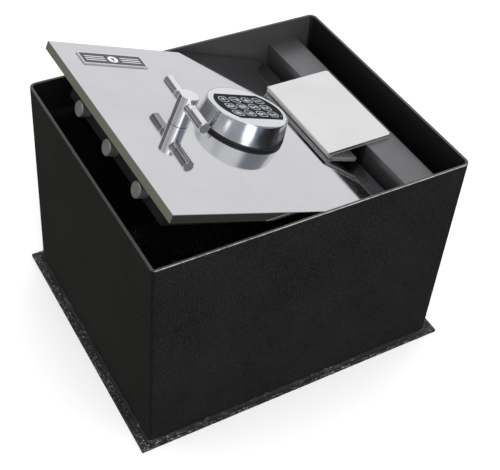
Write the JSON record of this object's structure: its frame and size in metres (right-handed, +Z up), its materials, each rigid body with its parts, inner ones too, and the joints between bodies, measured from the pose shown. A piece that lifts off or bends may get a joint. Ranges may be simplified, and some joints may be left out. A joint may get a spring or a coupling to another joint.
{
  "type": "in-floor safe",
  "caption": "Open-topped black steel in-floor safe with a hinged stainless door, T-handle, sliding locking bolts and a round keypad lock.",
  "frame": {"origin": "centre of the underside of the base plate", "axes": "+Z up out of the open top, +X towards the hinge side, +Y along the hinge away from the front wall"},
  "size_m": [0.36, 0.301, 0.3026],
  "materials": {
    "black_powder_coat": "near-black satin powder coat with a fine texture",
    "base_steel": "rough black coat over mill scale",
    "weld_bead": "lumpy painted weld",
    "grey_bar": "smooth grey satin",
    "mirror_stainless": "polished stainless sheet with faint brushing",
    "bright_stainless": "polished stainless",
    "machined_steel": "turned steel",
    "chromed_steel": "polished chrome",
    "turned_housing": "bright metal brushed round the axis",
    "zinc_sheet": "zinc-plated sheet",
    "gasket_rubber": "black rubber",
    "insert_plastic": "charcoal plastic",
    "key_rubber": "charcoal silicone with pale print",
    "badge_metal": "bright aluminium",
    "badge_black": "dark enamel",
    "led_lens": "clear lens, unlit",
    "circuit_board": "green board",
    "lock_alloy": "die-cast alloy",
    "copper_coil": "wrapped coil",
    "battery_case": "battery wrap",
    "lead_sheath": "grey sheath"
  },
  "bodies": {
    "safe_body": {"body_shell": "black_powder_coat", "base_plate": "base_steel", "base_weld": "weld_bead", "hinge_bar": "grey_bar", "hinge_deck_plate": "base_steel", "hinge_support_plate": "base_steel", "hinge_fixed_leaf": "bright_stainless", "hinge_pin": "bright_stainless", "hinge_cover": "bright_stainless", "door_ledge_left": "base_steel", "door_ledge_back": "base_steel", "door_ledge_front": "base_steel"},
    "door": {"door_plate": "machined_steel", "door_skin": "mirror_stainless", "hinge_door_leaf": "bright_stainless", "badge_plate": "badge_metal", "badge_inlay": "badge_black", "handle_bush": "machined_steel", "bolt_work_frame": "base_steel", "bolt_guide_rail": "zinc_sheet", "bolt_work_cover": "base_steel", "cover_posts": "machined_steel", "cover_screws": "machined_steel", "lock_case": "lock_alloy", "lock_case_lid": "zinc_sheet", "lock_bolt_spring": "machined_steel", "lock_solenoid": "copper_coil", "battery": "battery_case", "battery_bracket": "zinc_sheet", "keypad_gasket": "gasket_rubber", "keypad_housing": "turned_housing", "keypad_insert": "insert_plastic", "keypad_led": "led_lens", "keypad_circuit_board": "circuit_board", "lock_lead": "lead_sheath"},
    "handle": {"handle_post": "chromed_steel", "handle_crossbar": "chromed_steel", "handle_set_screw": "machined_steel", "handle_spindle": "machined_steel", "spindle_crank": "machined_steel", "crank_pin": "machined_steel", "handle_grip_front": "chromed_steel", "handle_grip_rear": "chromed_steel"},
    "bolt_carriage": {"bolt_carriage": "machined_steel", "locking_bolt_front": "machined_steel", "locking_bolt_middle": "machined_steel", "locking_bolt_rear": "machined_steel"},
    "lock_bolt": {"lock_bolt": "machined_steel"},
    "key_1": {"key_1": "key_rubber"},
    "key_2": {"key_2": "key_rubber"},
    "key_3": {"key_3": "key_rubber"},
    "key_4": {"key_4": "key_rubber"},
    "key_5": {"key_5": "key_rubber"},
    "key_6": {"key_6": "key_rubber"},
    "key_7": {"key_7": "key_rubber"},
    "key_8": {"key_8": "key_rubber"},
    "key_9": {"key_9": "key_rubber"},
    "key_star": {"key_star": "key_rubber"},
    "key_0": {"key_0": "key_rubber"},
    "key_hash": {"key_hash": "key_rubber"}
  },
  "joints": [
    {"name": "door_hinge", "type": "hinge", "parent": "safe_body", "child": "door", "pos_m": [0.069, 0, 0.2213], "axis": [0, 1, 0], "range_deg": [-20, 70]},
    {"name": "handle_turn", "type": "hinge", "parent": "door", "child": "handle", "pos_m": [-0.07402, 0, 0.26984], "axis": [0.342, 0, 0.9397], "range_deg": [0, 45]},
    {"name": "bolt_slide", "type": "slide", "parent": "door", "child": "bolt_carriage", "axis": [-0.9397, 0, 0.342], "range_m": [0, 0.012]},
    {"name": "lock_bolt_slide", "type": "slide", "parent": "door", "child": "lock_bolt", "axis": [-0.9397, 0, 0.342], "range_m": [0, 0.012]},
    {"name": "key_1_press", "type": "slide", "parent": "door", "child": "key_1", "axis": [-0.3401, -0.1045, -0.9345], "range_m": [0, 0.0008], "stiffness_N_per_m": 800},
    {"name": "key_2_press", "type": "slide", "parent": "door", "child": "key_2", "axis": [-0.3401, -0.1045, -0.9345], "range_m": [0, 0.0008], "stiffness_N_per_m": 800},
    {"name": "key_3_press", "type": "slide", "parent": "door", "child": "key_3", "axis": [-0.3401, -0.1045, -0.9345], "range_m": [0, 0.0008], "stiffness_N_per_m": 800},
    {"name": "key_4_press", "type": "slide", "parent": "door", "child": "key_4", "axis": [-0.3401, -0.1045, -0.9345], "range_m": [0, 0.0008], "stiffness_N_per_m": 800},
    {"name": "key_5_press", "type": "slide", "parent": "door", "child": "key_5", "axis": [-0.3401, -0.1045, -0.9345], "range_m": [0, 0.0008], "stiffness_N_per_m": 800},
    {"name": "key_6_press", "type": "slide", "parent": "door", "child": "key_6", "axis": [-0.3401, -0.1045, -0.9345], "range_m": [0, 0.0008], "stiffness_N_per_m": 800},
    {"name": "key_7_press", "type": "slide", "parent": "door", "child": "key_7", "axis": [-0.3401, -0.1045, -0.9345], "range_m": [0, 0.0008], "stiffness_N_per_m": 800},
    {"name": "key_8_press", "type": "slide", "parent": "door", "child": "key_8", "axis": [-0.3401, -0.1045, -0.9345], "range_m": [0, 0.0008], "stiffness_N_per_m": 800},
    {"name": "key_9_press", "type": "slide", "parent": "door", "child": "key_9", "axis": [-0.3401, -0.1045, -0.9345], "range_m": [0, 0.0008], "stiffness_N_per_m": 800},
    {"name": "key_star_press", "type": "slide", "parent": "door", "child": "key_star", "axis": [-0.3401, -0.1045, -0.9345], "range_m": [0, 0.0008], "stiffness_N_per_m": 800},
    {"name": "key_0_press", "type": "slide", "parent": "door", "child": "key_0", "axis": [-0.3401, -0.1045, -0.9345], "range_m": [0, 0.0008], "stiffness_N_per_m": 800},
    {"name": "key_hash_press", "type": "slide", "parent": "door", "child": "key_hash", "axis": [-0.3401, -0.1045, -0.9345], "range_m": [0, 0.0008], "stiffness_N_per_m": 800}
  ],
  "couplings": [
    {"joint": "handle_turn", "follows": "bolt_slide", "rad_per_m": 65.45},
    {"joint": "lock_bolt_slide", "follows": "bolt_slide", "ratio": 1}
  ]
}
